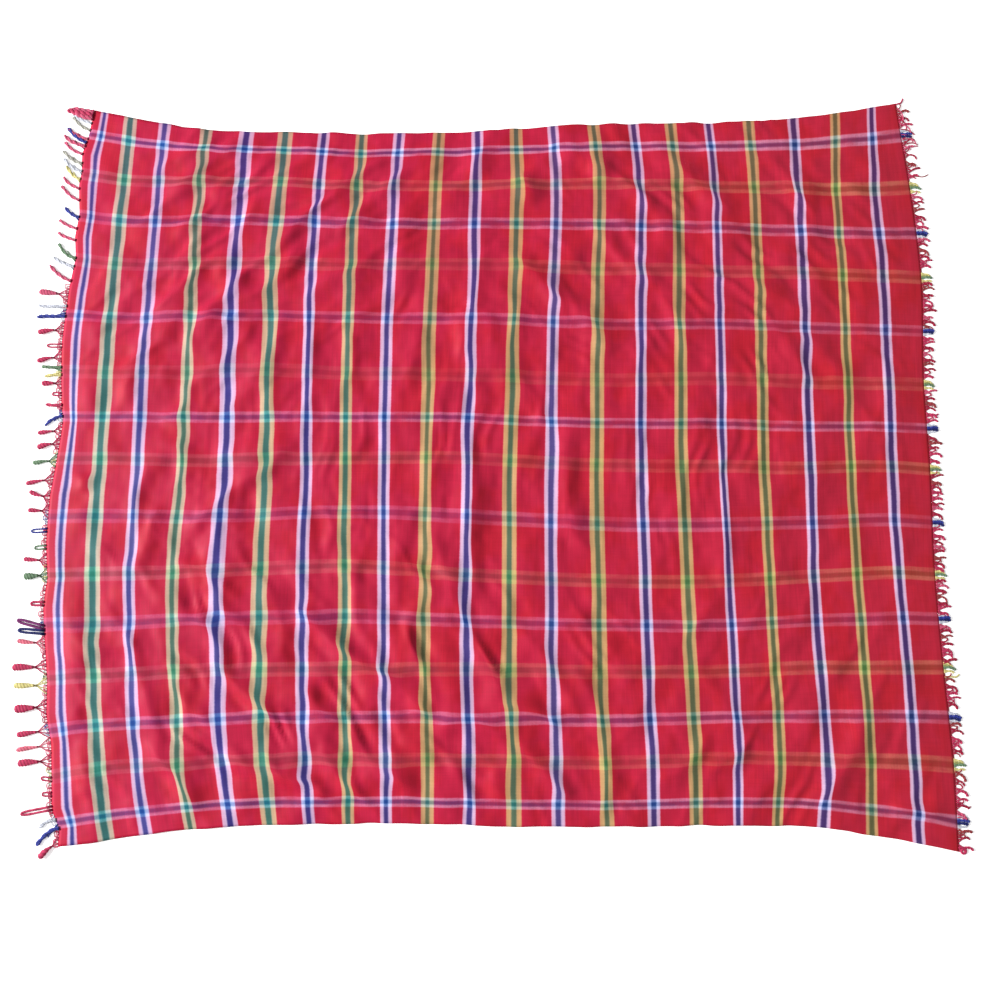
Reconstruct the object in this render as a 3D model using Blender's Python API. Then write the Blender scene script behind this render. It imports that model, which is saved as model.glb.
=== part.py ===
# A plaid blanket spread out face up on the floor: one thin woven cloth with soft folds,
# and the knotted fringe along its left and right edges.
# Metres, up is +Z, the cloth lies in the XY plane with its underside at z = 0.
import bpy
import bmesh
import numpy as np

# the cut cloth, flat on the loom
CUT_LONG = 1.80          # from fringe to fringe
CUT_WIDE = 1.52          # from selvage to selvage
THICK = 0.002            # the woven cloth
COLUMNS = 54             # facets along the long way
ROWS = 40                # facets along the wide way
CENTRE_X = 0.0072        # puts the middle of the whole outline over the origin
CENTRE_Y = -0.0031

# how the cloth lies: each table row is one station of the cut cloth, in millimetres
STATION_LONG = (0, 90, 256, 426, 593, 844, 1113, 1372, 1550, 1723, 1800)
STATION_WIDE = (0, 133, 316, 514, 753, 940, 1185, 1376, 1520)
# sideways place of each long station (rows) at each wide station (columns, front to back)
LIE_X = (
    (-815, -836, -858, -875, -870, -872, -863, -859, -841),   # left edge
    (-726, -745, -768, -783, -783, -783, -776, -768, -765),
    (-562, -589, -610, -624, -616, -617, -615, -607, -600),
    (-412, -430, -444, -449, -446, -449, -449, -437, -430),
    (-262, -270, -276, -280, -283, -284, -282, -275, -266),
    (-29, -30, -38, -39, -36, -32, -26, -22, -19),            # middle
    (236, 234, 229, 228, 228, 230, 237, 239, 233),
    (488, 493, 490, 487, 482, 484, 486, 485, 478),
    (649, 663, 660, 657, 659, 661, 663, 663, 661),
    (834, 833, 832, 828, 826, 828, 831, 827, 828),
    (909, 911, 904, 900, 905, 904, 914, 903, 884),            # right edge
)
# front to back place of each wide station (rows) at each long station (columns)
LIE_Y = (
    (-758, -745, -724, -718, -715, -717, -720, -717, -722, -752, -767),   # front edge
    (-623, -612, -603, -591, -592, -596, -601, -596, -599, -600, -605),
    (-439, -435, -426, -424, -422, -421, -426, -429, -421, -421, -420),
    (-235, -234, -232, -225, -222, -233, -248, -249, -239, -234, -233),
    (1, 0, -3, -3, 0, -2, -14, -17, -18, -19, -20),
    (181, 182, 182, 182, 178, 173, 163, 164, 159, 159, 158),
    (423, 413, 412, 412, 411, 413, 406, 395, 389, 385, 383),
    (608, 598, 589, 589, 585, 586, 594, 585, 578, 578, 578),
    (757, 738, 711, 707, 702, 708, 722, 727, 736, 762, 773),              # back edge
)

# the main folds: from (x, y) to (x, y), width and rise of the ridge, all in millimetres
FOLDS = (
    # x from, y from, x to, y to, width, rise
    (-426, 486, -280, 606, 70, 8),
    (-270, 552, -192, 618, 66, 7),
    (-623, 294, -529, 367, 70, 8),
    (-529, 367, -364, 438, 74, 8),
    (-747, 108, -717, 294, 66, 7),
    (-444, 108, -451, 300, 76, 9),
    (-368, 108, -373, 278, 66, 7),
    (-32, 442, -30, 119, 80, 8),          # long fold down the middle
    (-30, 119, -32, -328, 80, 8),
    (-96, 278, -60, 178, 66, 7),
    (-168, 150, -151, 278, 70, 7),
    (56, 278, 58, 150, 74, 7),
    (62, 157, 133, 73, 66, 7),
    (69, 402, 156, 322, 74, 8),
    (156, 333, 235, 285, 66, 7),
    (397, 617, 493, 542, 74, 8),
    (580, 648, 666, 527, 70, 8),
    (328, 387, 400, 257, 78, 9),
    (566, 354, 658, 285, 66, 7),
    (570, 268, 642, 172, 66, 7),
    (472, 66, 461, -269, 74, 8),
    (-688, -209, -670, -98, 66, 7),
    (-631, -88, -616, 15, 70, 7),
    (-593, -119, -395, -6, 70, 8),
    (-552, -219, -528, -119, 74, 8),
    (-317, -199, -320, -88, 66, 7),
    (-520, -318, -446, -396, 66, 7),
    (-515, -429, -434, -506, 70, 8),
    (-695, -367, -648, -511, 66, 7),
    (-669, -555, -583, -640, 74, 8),
    (-431, -587, -350, -650, 74, 8),
    (-365, -324, -274, -406, 66, 7),
    (-274, -406, -185, -444, 66, 7),
    (-109, -179, -44, -312, 66, 7),
    (-32, -338, 54, -597, 82, 11),        # the strongest fold, lower middle
    (-174, -289, -110, -435, 70, 8),
    (-260, -587, -177, -660, 66, 7),
    (66, -582, 139, -655, 78, 9),
    (145, 66, 164, -129, 70, 8),
    (156, -129, 210, -239, 66, 7),
    (362, -665, 422, -597, 70, 7),
    (656, -672, 737, -511, 86, 11),       # the sharp crease near the lower right corner
)
FLAT_EDGE = 0.045        # the folds die out this far before the fringed edges

# the fringe: a narrow backing beside the cloth with the strands growing out of it
BACKING = 0.006          # width of the backing
PART = 0.0008            # clear space between the cloth's edge and the backing
HIGH = 0.0024            # height of the backing and the strand roots
LEG = 0.004              # width of one strand root

# left tassels, front to back, in millimetres: place along the edge, reach outwards,
# drift towards the back, width, and how the yarns end (tie, loop or loose)
TASSELS = (
    (14, 33, -34, 10, "tie"), (36, 40, -33, 7, "loose"), (52, 30, -14, 6, "loose"),
    (74, 57, -11, 10, "loop"), (100, 17, 0, 6, "loop"), (128, 19, 2, 6, "loop"),
    (163, 63, -4, 12, "tie"), (193, 66, -11, 8, "tie"), (220, 60, -10, 10, "tie"),
    (263, 60, -5, 14, "tie"), (302, 64, 1, 10, "tie"), (337, 65, 0, 12, "tie"),
    (381, 54, 6, 8, "tie"), (409, 51, 8, 14, "loop"), (458, 24, 0, 10, "loop"),
    (514, 45, -4, 12, "tie"), (542, 45, 4, 8, "tie"), (570, 22, -2, 6, "loop"),
    (604, 30, -2, 6, "loop"), (643, 40, 2, 8, "tie"), (668, 40, 16, 8, "tie"),
    (712, 53, -13, 8, "tie"), (750, 47, -7, 8, "tie"), (788, 43, -12, 10, "tie"),
    (814, 47, -8, 8, "tie"), (843, 33, -20, 6, "loose"), (867, 32, 0, 6, "loose"),
    (891, 17, 0, 6, "loop"), (915, 38, -2, 10, "tie"), (933, 33, -4, 6, "loose"),
    (949, 39, 0, 6, "loose"), (974, 48, -12, 9, "tie"), (996, 29, 0, 6, "loop"),
    (1033, 51, -9, 10, "tie"), (1060, 57, -2, 7, "loose"), (1082, 60, 0, 6, "loose"),
    (1106, 59, 8, 11, "tie"), (1137, 55, 24, 9, "tie"), (1170, 54, 10, 5, "loose"),
    (1188, 45, 20, 5, "loose"), (1227, 44, 7, 8, "loop"), (1253, 45, 9, 7, "tie"),
    (1279, 35, 11, 6, "loose"), (1316, 47, 22, 7, "loop"), (1342, 41, 15, 7, "tie"),
    (1364, 37, 20, 6, "loose"), (1382, 48, 18, 6, "loose"), (1400, 50, 18, 6, "loose"),
    (1420, 46, 16, 7, "tie"), (1439, 55, 14, 7, "loose"), (1455, 51, 14, 6, "loose"),
    (1470, 20, 24, 5, "loose"), (1486, 32, 30, 6, "loose"), (1510, 32, 20, 8, "loose"),
)
# right strands by section of the edge, in millimetres
SHORT_STRANDS = (
    # from, to, number, reach outwards, drift towards the back
    (10, 190, 9, 24, -9),
    (190, 470, 13, 23, 7),
    (470, 800, 16, 21, -6),
    (800, 1140, 16, 22, -8),
    (1140, 1400, 13, 25, 6),
    (1400, 1512, 6, 20, -8),
)


def weights(knots, at):
    """Row per place in 'at': how much each knot counts in a smooth curve through the knots."""
    knots = np.asarray(knots, float)
    at = np.asarray(at, float)
    step = np.diff(knots)
    unit = np.eye(len(knots))
    slope = (unit[1:] - unit[:-1]) / step[:, None]
    tangent = np.vstack([
        slope[:1],
        (slope[:-1] * step[1:, None] + slope[1:] * step[:-1, None]) / (step[:-1] + step[1:])[:, None],
        slope[-1:],
    ])
    i = np.clip(np.searchsorted(knots, at, side="right") - 1, 0, len(step) - 1)
    h = step[i][:, None]
    t = ((at - knots[i]) / step[i])[:, None]
    return ((2 * t**3 - 3 * t**2 + 1) * unit[i] + (t**3 - 2 * t**2 + t) * h * tangent[i]
            + (3 * t**2 - 2 * t**3) * unit[i + 1] + (t**3 - t**2) * h * tangent[i + 1])


def lie(along, across):
    """Where the cut cloth's grid lines land on the floor, as two arrays [along, across]."""
    a = weights(np.array(STATION_LONG) / 1000, along)
    b = weights(np.array(STATION_WIDE) / 1000, across)
    x = a @ (np.array(LIE_X) / 1000) @ b.T
    y = a @ (np.array(LIE_Y).T / 1000) @ b.T
    return x - CENTRE_X, y - CENTRE_Y


def relief(x, y, along):
    """Height of the folds: soft ridges joined where they meet, zero in between."""
    total = np.zeros_like(x)
    for x0, y0, x1, y1, width, rise in FOLDS:
        ax, ay = x0 / 1000 - CENTRE_X, y0 / 1000 - CENTRE_Y
        dx, dy = (x1 - x0) / 1000, (y1 - y0) / 1000
        length = np.hypot(dx, dy)
        s = ((x - ax) * dx + (y - ay) * dy) / length**2
        off = ((x - ax) * dy - (y - ay) * dx) / length
        beyond = np.clip(np.abs(s - 0.5) - 0.42, 0, None) * length
        end = np.cos(np.pi / 2 * np.clip(beyond / 0.045, 0, 1)) ** 2
        side = np.cos(np.pi / 2 * np.clip(np.abs(off) / (width / 2000), 0, 1)) ** 2
        total += (rise / 1000 * end * side) ** 3
    z = np.cbrt(total)
    fade = np.clip(np.minimum(along, CUT_LONG - along) / FLAT_EDGE - 0.3, 0, 1)
    z = z * fade**2 * (3 - 2 * fade)
    return np.where(z < 0.0004, 0.0, z)


def add_object(name, verts, faces, colour):
    for number, corners in enumerate(faces):
        if len(set(corners)) != len(corners):
            raise ValueError(f"{name}: face {number} uses a corner twice")
    mesh = bpy.data.meshes.new(name)
    mesh.from_pydata([tuple(float(c) for c in v) for v in verts], [], faces)
    work = bmesh.new()
    work.from_mesh(mesh)
    bmesh.ops.recalc_face_normals(work, faces=work.faces)
    bmesh.ops.triangulate(work, faces=work.faces)
    work.to_mesh(mesh)
    work.free()
    material = bpy.data.materials.new(name + "_colour")
    material.use_nodes = True
    shader = material.node_tree.nodes["Principled BSDF"]
    shader.inputs["Base Color"].default_value = (*colour, 1.0)
    shader.inputs["Roughness"].default_value = 0.9
    mesh.materials.append(material)
    piece = bpy.data.objects.new(name, mesh)
    bpy.context.collection.objects.link(piece)
    return piece


def build_cloth():
    """Top and underside follow the same folds; a rim of narrow faces joins them."""
    along = np.linspace(0, CUT_LONG, COLUMNS + 1)
    across = np.linspace(0, CUT_WIDE, ROWS + 1)
    x, y = lie(along, across)
    z = relief(x, y, along[:, None] + 0 * y)
    under = np.stack([x, y, z], -1).reshape(-1, 3)
    over = under + np.array([0, 0, THICK])
    verts = list(under) + list(over)
    number = np.arange((COLUMNS + 1) * (ROWS + 1)).reshape(COLUMNS + 1, ROWS + 1)
    lift = number.size
    faces = []
    for i in range(COLUMNS):
        for j in range(ROWS):
            a, b = int(number[i, j]), int(number[i + 1, j])
            c, d = int(number[i + 1, j + 1]), int(number[i, j + 1])
            halves = ((a, b, c), (a, c, d)) if (i + j) % 2 else ((a, b, d), (b, c, d))
            for p, q, r in halves:
                faces += [(p, r, q), (p + lift, q + lift, r + lift)]
    edge = ([int(n) for n in number[:, 0]] + [int(n) for n in number[-1, 1:]]
            + [int(n) for n in number[-2::-1, -1]] + [int(n) for n in number[0, -2:0:-1]])
    for p, q in zip(edge, edge[1:] + edge[:1]):
        faces.append((p, q, q + lift, p + lift))
    return add_object("cloth", verts, faces, (0.62, 0.03, 0.06))


def edge_line(side, places):
    """Points of the cloth's modelled edge, on the straight pieces between its corners."""
    across = np.linspace(0, CUT_WIDE, ROWS + 1)
    x, y = lie(np.array([0.0 if side < 0 else CUT_LONG]), across)
    return np.interp(places, across, x[0]), np.interp(places, across, y[0])


def bend(root, tip, wave, count):
    """A strand's middle line: leaves the cloth squarely, then drifts with one gentle wave."""
    t = np.linspace(0, 1, count)[:, None]
    knee = np.array([0.55 * tip[0] + 0.45 * root[0], 0.75 * root[1] + 0.25 * tip[1]])
    line = (1 - t) ** 2 * root + 2 * t * (1 - t) * knee + t**2 * tip
    line[:, 1] += wave * np.sin(np.pi * 2 * t[:, 0]) * t[:, 0]
    return line


def build_fringe(name, side, strands, colour):
    """One watertight mesh. The backing's outer wall is left open where a strand root
    joins it, and each root is drawn out of that opening."""
    roots = []
    for k, (place, reach, drift, width, kind) in enumerate(strands):
        pair = kind in ("tie", "loop")
        apart = (0.0034 if width < 9 else 0.0045) if pair else 0.0
        for leg in ((-1, 1) if pair else (0,)):
            middle = place / 1000 + leg * apart
            roots.append((middle - LEG / 2, middle + LEG / 2, k, leg))
    cuts = {0.0015, CUT_WIDE - 0.0015}
    for low, high, _, _ in roots:
        cuts |= {round(low, 5), round(high, 5)}
    cuts = sorted(cuts)
    ex, ey = edge_line(side, np.array(cuts))
    inner = np.stack([ex + side * PART, ey], -1)
    outer = np.stack([ex + side * (PART + BACKING), ey], -1)
    verts, faces = [], []
    for p, q in zip(inner, outer):
        verts += [(*p, 0), (*p, HIGH), (*q, 0), (*q, HIGH)]
    open_at = {round(low, 5) for low, _, _, _ in roots}
    for i in range(len(cuts) - 1):
        a, b = 4 * i, 4 * i + 4
        faces += [(a, b, b + 1, a + 1), (a + 1, b + 1, b + 3, a + 3), (a, a + 2, b + 2, b)]
        if cuts[i] not in open_at:
            faces.append((a + 2, a + 3, b + 3, b + 2))
    last = 4 * (len(cuts) - 1)
    faces += [(0, 1, 3, 2), (last, last + 2, last + 3, last + 1)]

    def ring(points):
        first = len(verts)
        verts.extend(points)
        return list(range(first, first + len(points)))

    def join(one, two):
        n = len(one)
        for m in range(n):
            faces.append((one[m], one[(m + 1) % n], two[(m + 1) % n], two[m]))

    def section(point, heading, half, high, corners):
        """Strand section across its heading, resting on the floor at its lowest line."""
        hx, hy = heading / np.hypot(*heading)
        nx, ny = -hy, hx
        if corners == 4:
            shape = ((-1, 0), (-1, 1), (1, 1), (1, 0))
        else:
            shape = ((-1, 0.3), (-0.8, 0.75), (0, 1), (0.8, 0.75), (1, 0.3), (0, 0))
        return [(point[0] + nx * half * w, point[1] + ny * half * w, high * h) for w, h in shape]

    start = {round(low, 5): i for i, low in enumerate(cuts)}
    for k, (place, reach, drift, width, kind) in enumerate(strands):
        mx, my = edge_line(side, np.array([place / 1000]))
        root = np.array([mx[0] + side * (PART + BACKING), my[0]])
        tip = root + np.array([side * (reach / 1000 - BACKING), drift / 1000])
        half = width / 2000
        wave = 0.0012 * np.sin(2.4 * k)
        legs = [r for r in roots if r[2] == k]
        # rings run from the side nearer the front over the top to the side nearer the back
        mouth = []
        for low, high, _, _ in legs:
            i = start[round(low, 5)]
            mouth.append([4 * i + 2, 4 * i + 3, 4 * i + 7, 4 * i + 6])
        if len(legs) == 1:
            line = bend(root, tip, wave, 4 if reach > 27 else 3)
            last_ring = mouth[0]
            for n in range(1, len(line)):
                heading = (line[n] - line[n - 1]) * side
                thin = half * (1.0 if n < len(line) - 1 else 0.62)
                new = ring(section(line[n], heading, thin, min(2 * thin, 0.004), 4))
                join(last_ring, new)
                last_ring = new
            faces.append(tuple(last_ring))
            continue
        # two roots come together at a knot, then run on as one thick tassel
        knot = 0.34 if kind == "tie" else 0.42
        line = bend(root, tip, wave, 5)
        at = root + (tip - root) * knot
        grip = max(0.0022, half * 0.55)
        heading = (tip - root) * side
        hx, hy = heading / np.hypot(*heading)
        nx, ny = -hy, hx
        left = ring([(at[0] - nx * grip, at[1] - ny * grip, 0.0003),
                     (at[0] - nx * grip * 0.8, at[1] - ny * grip * 0.8, HIGH)])
        mid = ring([(at[0], at[1], HIGH * 1.5), (at[0], at[1], 0.0)])
        right = ring([(at[0] + nx * grip * 0.8, at[1] + ny * grip * 0.8, HIGH),
                      (at[0] + nx * grip, at[1] + ny * grip, 0.0003)])
        join(mouth[0], [left[0], left[1], mid[0], mid[1]])
        join(mouth[1], [mid[1], mid[0], right[0], right[1]])
        last_ring = [left[0], left[1], mid[0], right[0], right[1], mid[1]]
        spread = (1.0, 0.92, 0.45) if kind == "tie" else (1.0, 1.0, 0.6)
        for fraction, swell in zip((0.56, 0.84, 1.0), spread):
            point = root + (tip - root) * fraction
            point[1] += wave * np.sin(np.pi * 2 * fraction)
            new = ring(section(point, heading, half * swell, min(1.1 * half * swell, 0.0065), 6))
            join(last_ring, new)
            last_ring = new
        faces.append(tuple(last_ring))
    return add_object(name, verts, faces, colour)


def right_strands():
    """Short hooked ends, evenly spread in each section and varied a little one by one."""
    rows = []
    for low, high, count, reach, drift in SHORT_STRANDS:
        for n in range(count):
            k = len(rows)
            place = low + (high - low) * (n + 0.5) / count
            rows.append((place + 2.0 * np.sin(1.7 * k), reach + 5 * np.sin(2.9 * k + 1),
                         drift * (0.5 + 0.5 * np.cos(1.3 * k)), 5.0 + np.sin(4.1 * k), "loose"))
    return rows


for old in list(bpy.data.objects):
    bpy.data.objects.remove(old, do_unlink=True)

build_cloth()
build_fringe("fringe_left", -1, TASSELS, (0.55, 0.05, 0.09))
build_fringe("fringe_right", 1, right_strands(), (0.55, 0.05, 0.09))
for piece in bpy.data.objects:
    low = np.min([v.co for v in piece.data.vertices], axis=0)
    high = np.max([v.co for v in piece.data.vertices], axis=0)
    print(piece.name, len(piece.data.polygons), "triangles", np.round(low, 4), np.round(high, 4))
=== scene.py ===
import bpy
import math
import numpy as np
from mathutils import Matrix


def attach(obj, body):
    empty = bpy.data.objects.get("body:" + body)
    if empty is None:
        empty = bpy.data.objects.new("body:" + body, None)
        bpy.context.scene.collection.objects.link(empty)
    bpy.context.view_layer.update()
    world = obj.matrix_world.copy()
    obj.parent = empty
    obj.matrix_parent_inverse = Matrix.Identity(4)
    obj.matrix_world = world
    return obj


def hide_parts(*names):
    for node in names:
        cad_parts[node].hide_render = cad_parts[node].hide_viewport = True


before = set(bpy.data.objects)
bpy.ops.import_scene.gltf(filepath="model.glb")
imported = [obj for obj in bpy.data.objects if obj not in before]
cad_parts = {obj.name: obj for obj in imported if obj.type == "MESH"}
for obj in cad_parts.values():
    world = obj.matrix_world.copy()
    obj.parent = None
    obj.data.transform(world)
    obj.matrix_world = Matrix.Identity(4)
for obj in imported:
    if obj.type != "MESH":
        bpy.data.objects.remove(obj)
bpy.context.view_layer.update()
scene = bpy.context.scene
print("frame loaded:", sorted(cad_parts))

# the lay: where each thread of the cut cloth comes to rest
# The cut cloth is measured in millimetres: "along" runs from the left fringe to the right one,
# "across" from the front selvage to the back one. The tables say where a few threads lie,
# and smooth curves through them carry all the rest.
lay = {
    "long": 1.80, "wide": 1.52, "centreX": 0.0072, "centreY": -0.0031,
    "alongStations": (0, 90, 256, 426, 593, 844, 1113, 1372, 1550, 1723, 1800),
    "acrossStations": (0, 133, 316, 514, 753, 940, 1185, 1376, 1520),
    "x": (  # a row for each station along, a column for each station across
        (-815, -836, -858, -875, -870, -872, -863, -859, -841),
        (-721, -745, -765, -780, -780, -780, -773, -766, -760),
        (-561, -588, -607, -621, -612, -613, -608, -604, -595),
        (-411, -428, -441, -447, -443, -445, -445, -433, -427),
        (-259, -267, -274, -279, -281, -284, -281, -271, -263),
        (-29, -29, -36, -38, -36, -31, -24, -20, -16),
        (236, 235, 228, 226, 227, 230, 237, 242, 231),
        (486, 491, 489, 487, 482, 485, 486, 486, 477),
        (649, 662, 659, 655, 659, 660, 665, 661, 659),
        (832, 832, 830, 826, 824, 827, 830, 824, 828),
        (909, 911, 904, 900, 905, 904, 914, 903, 884),
    ),
    "y": (  # a row for each station across, a column for each station along
        (-758, -745, -724, -718, -715, -717, -720, -717, -722, -752, -767),
        (-628, -613, -604, -593, -594, -596, -602, -593, -595, -600, -606),
        (-441, -436, -428, -425, -423, -424, -428, -427, -420, -421, -420),
        (-239, -237, -234, -226, -221, -238, -250, -251, -241, -235, -238),
        (-3, -3, -9, -8, -3, -4, -17, -20, -23, -21, -26),
        (179, 176, 177, 181, 175, 170, 160, 163, 155, 153, 151),
        (421, 409, 410, 412, 407, 408, 400, 393, 390, 382, 381),
        (612, 596, 591, 590, 582, 584, 588, 582, 576, 577, 581),
        (757, 738, 711, 707, 702, 708, 722, 727, 736, 762, 773),
    ),
    # the left edge is uneven: place across, how far it stands out there, and how deep that is felt
    "leftEdge": (
        (0, 0), (35, -6), (71, 5), (134, 0), (194, -3), (247, 4), (308, 0), (451, 4), (509, -4), (577, 3),
        (675, 6), (743, 0), (833, -9), (872, -4), (1003, 5), (1121, 3), (1188, -4), (1236, 1), (1285, -5),
        (1354, 2), (1381, 0), (1421, 6), (1461, 0), (1520, 0),
    ),
    "edgeDepth": 35,
}


def smoothWeights(knots, at):
    # cubic pieces between the knots, each knot's slope taken from its neighbours: gives, for
    # every place in "at", how much each knot counts
    knots, at = np.asarray(knots, float), np.asarray(at, float)
    step, unit = np.diff(knots), np.eye(len(knots))
    slope = (unit[1:] - unit[:-1]) / step[:, None]
    inner = (slope[:-1] * step[1:, None] + slope[1:] * step[:-1, None]) / (step[:-1] + step[1:])[:, None]
    tangent = np.vstack([slope[:1], inner, slope[-1:]])
    i = np.clip(np.searchsorted(knots, at, side="right") - 1, 0, len(step) - 1)
    h, t = step[i][:, None], ((at - knots[i]) / step[i])[:, None]
    return ((2 * t**3 - 3 * t**2 + 1) * unit[i] + (t**3 - 2 * t**2 + t) * h * tangent[i]
            + (3 * t**2 - 2 * t**3) * unit[i + 1] + (t**3 - t**2) * h * tangent[i + 1])


def layOut(along, across):
    # floor place of every crossing of the threads "along" and "across": the table's values
    # blended by the two sets of weights, then shifted so the blanket is centred
    a = smoothWeights(np.array(lay["alongStations"]) / 1000, along)
    b = smoothWeights(np.array(lay["acrossStations"]) / 1000, across)
    x = a @ (np.array(lay["x"]) / 1000) @ b.T - lay["centreX"]
    edge = np.array(lay["leftEdge"]) / 1000
    felt = np.exp(-(np.asarray(along) * 1000 / lay["edgeDepth"]) ** 2)
    x = x - felt[:, None] * np.interp(across, edge[:, 0], edge[:, 1])[None, :]
    y = a @ (np.array(lay["y"]).T / 1000) @ b.T - lay["centreY"]
    return x, y


def layEdge(side, across):
    # points along one fringed edge of the cloth
    x, y = layOut(np.array([0.0 if side < 0 else lay["long"]]), across)
    return x[0], y[0]


# camera: a wide view from above, tilted a little from the front
viewpoint = {"lens": 32.0, "distance": 1.785, "tilt": 8.0, "aimX": 0.0178, "aimY": -0.0799}
tilt = math.radians(viewpoint["tilt"])
cameraData = bpy.data.cameras.new("overheadCamera")
cameraData.lens = viewpoint["lens"]
cameraData.sensor_width = 36.0
cameraData.clip_start, cameraData.clip_end = 0.05, 60.0
camera = bpy.data.objects.new("overheadCamera", cameraData)
camera.location = (viewpoint["aimX"], viewpoint["aimY"] - viewpoint["distance"] * math.sin(tilt),
                   viewpoint["distance"] * math.cos(tilt))
camera.rotation_euler = (tilt, 0.0, 0.0)
scene.collection.objects.link(camera)
scene.camera = camera
scene.view_settings.view_transform = "Standard"
print("camera set")

# plain studio: pale floor, soft light from the left, even fill
studio = {
    "floorHalf": 14.0, "floorDrop": 0.0006, "floorColour": (0.93, 0.93, 0.93), "floorGlow": 0.38,
    "keyPower": 2140.0, "keySize": 2.2, "keyPlace": (-9.0, 0.4, 4.4), "keyAim": (0.15, 0.0, 0.0),
    "keyColour": (1.0, 0.985, 0.98),
    "fillStrength": 0.50, "fillColour": (1.0, 0.99, 1.0),
}
floorMesh = bpy.data.meshes.new("studioFloor")
half, drop = studio["floorHalf"], studio["floorDrop"]
floorCorners = [(x * half, y * half, -drop) for x, y in ((-1, -1), (1, -1), (1, 1), (-1, 1))]
floorMesh.from_pydata(floorCorners, [], [(0, 1, 2, 3)])
floorMaterial = bpy.data.materials.new("paleFloor")
floorMaterial.use_nodes = True
floorShader = floorMaterial.node_tree.nodes["Principled BSDF"]
floorShader.inputs["Base Color"].default_value = (*studio["floorColour"], 1.0)
floorShader.inputs["Roughness"].default_value = 0.9
floorShader.inputs["Specular IOR Level"].default_value = 0.0
floorShader.inputs["Emission Color"].default_value = (1.0, 1.0, 1.0, 1.0)
floorShader.inputs["Emission Strength"].default_value = studio["floorGlow"]
floorMesh.materials.append(floorMaterial)
floor = bpy.data.objects.new("studioFloor", floorMesh)
scene.collection.objects.link(floor)
keyData = bpy.data.lights.new("softKey", "AREA")
keyData.energy, keyData.size, keyData.color = studio["keyPower"], studio["keySize"], studio["keyColour"]
key = bpy.data.objects.new("softKey", keyData)
key.location = studio["keyPlace"]
aim = np.array(studio["keyAim"]) - np.array(studio["keyPlace"])
key.rotation_euler = (math.atan2(math.hypot(aim[0], aim[1]), -aim[2]), 0.0, math.atan2(-aim[0], aim[1]))
scene.collection.objects.link(key)
world = scene.world or bpy.data.worlds.new("studioFill")
scene.world = world
world.use_nodes = True
backdrop = world.node_tree.nodes["Background"]
backdrop.inputs["Color"].default_value = (*studio["fillColour"], 1.0)
backdrop.inputs["Strength"].default_value = studio["fillStrength"]
print("studio lit")

# the plaid: where each band of coloured threads runs
# place of the band's middle in the cut cloth, whole width, core width (mm), and for the first table
# the core's tone, from deep to pale, for the second how strongly the band shows
upBands = (  # bands that run from front to back; odd ones white and blue, even ones yellow and green
    (27, 19, 7, 0.5), (90, 31, 12, 0.0), (166, 27, 10, 0.85), (256, 26, 9, 0.55), (343, 33, 12, 0.1),
    (426, 33, 12, 0.1), (510, 26, 10, 0.35), (593, 26, 10, 0.3), (673, 25, 9, 0.6), (759, 27, 8, 1.0),
    (844, 27, 11, 0.4), (933, 30, 10, 0.5), (1018, 26, 10, 1.0), (1113, 29, 9, 0.6), (1205, 25, 10, 0.5),
    (1288, 27, 10, 0.6), (1372, 21, 9, 0.5), (1456, 24, 9, 0.6), (1550, 25, 11, 0.35), (1638, 22, 9, 0.6),
    (1723, 24, 10, 0.2),
)
sideBands = (  # bands that run from fringe to fringe, front to back; the first is white and blue
    (45, 21, 8, 1.7), (133, 28, 11, 0.7), (218, 26, 10, 1.15), (316, 29, 11, 0.75), (417, 28, 11, 0.82),
    (514, 29, 10, 0.78), (632, 30, 12, 0.75), (753, 28, 11, 0.65), (843, 23, 9, 1.15), (940, 30, 10, 0.45),
    (1063, 26, 10, 0.76), (1185, 29, 10, 0.5), (1283, 27, 11, 0.92), (1376, 27, 10, 0.68), (1466, 23, 8, 1.4),
)


def gridLines(bands, end, cell):
    # thread places from 0 to "end", close to "cell" apart, always with a line on each band's
    # middle and an even number of cells between, so that every second line keeps the bands too
    stops = [0.0] + [b[0] / 1000 for b in bands] + [end]
    parts = []
    for a, b in zip(stops, stops[1:]):
        n = max(2, 2 * round((b - a) / cell / 2))
        parts.append(np.linspace(a, b, n, endpoint=False))
    return np.concatenate(parts + [[end]])


def bandFacts(bands, places):
    # for each place: distance to the nearest band's middle (m), its whole and core half widths
    # (m), 0 for white and blue or 1 for yellow and green, and the table's last column
    middle = np.array([b[0] for b in bands]) / 1000
    k = np.abs(places[:, None] - middle[None, :]).argmin(1)
    rows = np.array(bands, float)[k]
    return (np.abs(places - middle[k]), rows[:, 1] / 2000, rows[:, 2] / 2000,
            (k % 2).astype(float), rows[:, 3])


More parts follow.
